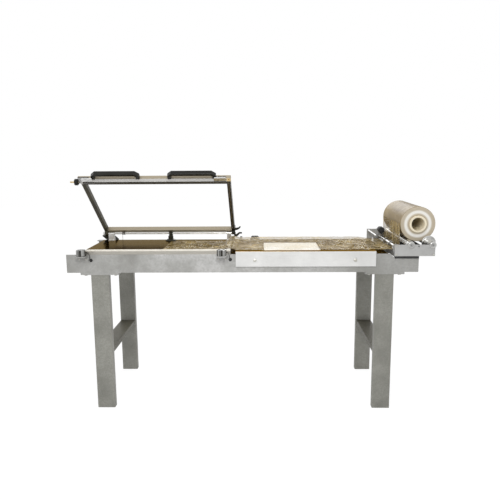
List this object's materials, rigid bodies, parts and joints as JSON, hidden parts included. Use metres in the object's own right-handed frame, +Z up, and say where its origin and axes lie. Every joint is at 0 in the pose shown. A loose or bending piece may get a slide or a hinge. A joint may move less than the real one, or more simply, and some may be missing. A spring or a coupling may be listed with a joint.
{
  "type": "l bar sealer",
  "caption": "Floor-standing L-bar film sealer: hinged sealing frame over a steel table, sliding packing plate and film roll dispenser.",
  "frame": {"origin": "floor level, at the centre of the four legs' footprint", "axes": "+X along the table to the film roll, +Y to the hinge side (rear), +Z up"},
  "size_m": [1.9505, 0.6706, 1.2852],
  "materials": {
    "table_paint": "hammered silver-grey enamel",
    "brace_paint": "dark hammered enamel",
    "zinc": "zinc plated",
    "polished_steel": "polished stainless sheet",
    "bar_aluminium": "satin extrusion",
    "dark_bar": "black enamel",
    "silicone": "white silicone",
    "magnet_steel": "nickel plated",
    "armature_steel": "ground steel",
    "lead_sheath": "pale silicone sheath",
    "brown_sheath": "brown glass-fibre sheath",
    "black_rubber": "moulded rubber",
    "post_steel": "bright plated",
    "switch_plastic": "white moulding",
    "black_plastic": "gloss black moulding",
    "unit_case": "dark moulding",
    "transformer_core": "varnished laminations",
    "spring_steel": "spring wire",
    "insulator": "glass-fibre tape",
    "seal_alloy": "resistance ribbon",
    "brass": "turned brass",
    "striker": "blackened steel",
    "plate_paint": "light grey enamel",
    "panel_white": "white laminate",
    "dispenser_steel": "light grey enamel",
    "roller_steel": "plated tube",
    "disc_aluminium": "turned",
    "press_rubber": "dark rubber sleeve",
    "cardboard": "wound board",
    "wound_film": "wound clear film",
    "clear_film": "clear film"
  },
  "bodies": {
    "table": {"front_rail": "table_paint", "rear_rail": "table_paint", "cross_channels": "table_paint", "legs": "table_paint", "leg_head_plates": "table_paint", "side_braces": "brace_paint", "frame_bolts": "zinc", "top_plate": "polished_steel", "lower_seal_bars": "bar_aluminium", "silicone_pads": "silicone", "magnets": "magnet_steel", "magnet_brackets": "table_paint", "magnet_leads": "lead_sheath", "lead_grommets": "black_rubber", "hinge_posts": "post_steel", "centre_post": "dark_bar", "limit_switch": "switch_plastic", "timer_unit": "unit_case", "seal_transformer": "transformer_core", "return_spring": "spring_steel", "frame_lead": "brown_sheath", "stop_buffer": "black_rubber", "guide_bushes": "zinc", "dispenser_front_plate": "dispenser_steel", "dispenser_rear_plate": "dispenser_steel", "dispenser_base_bars": "table_paint", "guide_brackets": "dispenser_steel", "film_guide_rod": "roller_steel", "film_web": "clear_film"},
    "sealing_frame": {"front_bar": "bar_aluminium", "seal_profiles": "bar_aluminium", "left_arm": "dark_bar", "side_bar": "dark_bar", "rear_tube": "bar_aluminium", "seal_insulators": "insulator", "seal_wire": "seal_alloy", "corner_block": "bar_aluminium", "corner_terminal": "brass", "armatures": "armature_steel", "bar_handles": "black_plastic", "hinge_shaft": "post_steel", "stop_lever": "dark_bar", "switch_fingers": "striker"},
    "tensioner": {"tension_rod": "brass", "tension_spring": "spring_steel"},
    "tension_knob": {"tension_knob": "black_plastic"},
    "packing_table": {"packing_plate": "plate_paint", "slide_panel": "panel_white", "guide_rods": "post_steel", "flange_screws": "zinc"},
    "film_roll": {"film_core": "cardboard", "film_winding": "wound_film"},
    "roller_left": {"roller_left": "roller_steel"},
    "roller_right": {"roller_right": "roller_steel"},
    "stop_disc_front": {"stop_disc_front": "disc_aluminium"},
    "stop_disc_rear": {"stop_disc_rear": "disc_aluminium"},
    "perforator": {"perforator": "roller_steel"},
    "press_roller": {"press_roller": "press_rubber"},
    "timer_knob": {"timer_knob": "black_plastic"},
    "switch_plunger": {"switch_plunger": "black_plastic"}
  },
  "joints": [
    {"name": "frame_hinge", "type": "hinge", "parent": "table", "child": "sealing_frame", "pos_m": [0, 0.26, 0.889], "axis": [1, 0, 0], "range_deg": [0, 38], "stiffness_Nm_per_rad": 25, "springref_deg": -126.05, "deforming": ["return_spring", "frame_lead"]},
    {"name": "tension_turn", "type": "hinge", "parent": "sealing_frame", "child": "tension_knob", "pos_m": [-0.887, -0.16981, 1.22734], "axis": [1, 0, 0], "range_deg": [0, 720]},
    {"name": "tension_travel", "type": "slide", "parent": "sealing_frame", "child": "tensioner", "axis": [-1, 0, 0], "range_m": [0, 0.0025], "deforming": ["tension_spring"]},
    {"name": "plate_slide", "type": "slide", "parent": "table", "child": "packing_table", "axis": [0, 1, 0], "range_m": [-0.12, 0]},
    {"name": "roll_spin", "type": "hinge", "parent": "table", "child": "film_roll", "pos_m": [0.935, 0, 0.9974], "axis": [0, 1, 0], "continuous": true},
    {"name": "left_roller_spin", "type": "hinge", "parent": "table", "child": "roller_left", "pos_m": [0.879, 0, 0.9], "axis": [0, 1, 0], "continuous": true},
    {"name": "right_roller_spin", "type": "hinge", "parent": "table", "child": "roller_right", "pos_m": [0.991, 0, 0.9], "axis": [0, 1, 0], "continuous": true},
    {"name": "front_disc_slide", "type": "slide", "parent": "roller_right", "child": "stop_disc_front", "axis": [0, 1, 0], "range_m": [-0.03, 0.012]},
    {"name": "rear_disc_slide", "type": "slide", "parent": "roller_right", "child": "stop_disc_rear", "axis": [0, 1, 0], "range_m": [0, 0.012]},
    {"name": "perforator_spin", "type": "hinge", "parent": "table", "child": "perforator", "pos_m": [0.815, 0, 0.88], "axis": [0, 1, 0], "continuous": true},
    {"name": "press_spin", "type": "hinge", "parent": "table", "child": "press_roller", "pos_m": [0.8255, 0, 0.917], "axis": [0, 1, 0], "continuous": true},
    {"name": "timer_turn", "type": "hinge", "parent": "table", "child": "timer_knob", "pos_m": [0.065, 0.25, 0.86], "axis": [0, 0, 1], "range_deg": [-270, 0]},
    {"name": "plunger_press", "type": "slide", "parent": "table", "child": "switch_plunger", "axis": [0, 0, -1], "range_m": [0, 0.003], "stiffness_N_per_m": 400, "springref_m": -0.002}
  ],
  "couplings": [
    {"joint": "left_roller_spin", "follows": "roll_spin", "ratio": -4.8947},
    {"joint": "right_roller_spin", "follows": "roll_spin", "ratio": -4.8947},
    {"joint": "press_spin", "follows": "roll_spin", "ratio": -5.4706},
    {"joint": "perforator_spin", "follows": "roll_spin", "ratio": -5.4706},
    {"joint": "tension_turn", "follows": "tension_travel", "rad_per_m": 5026.5}
  ]
}
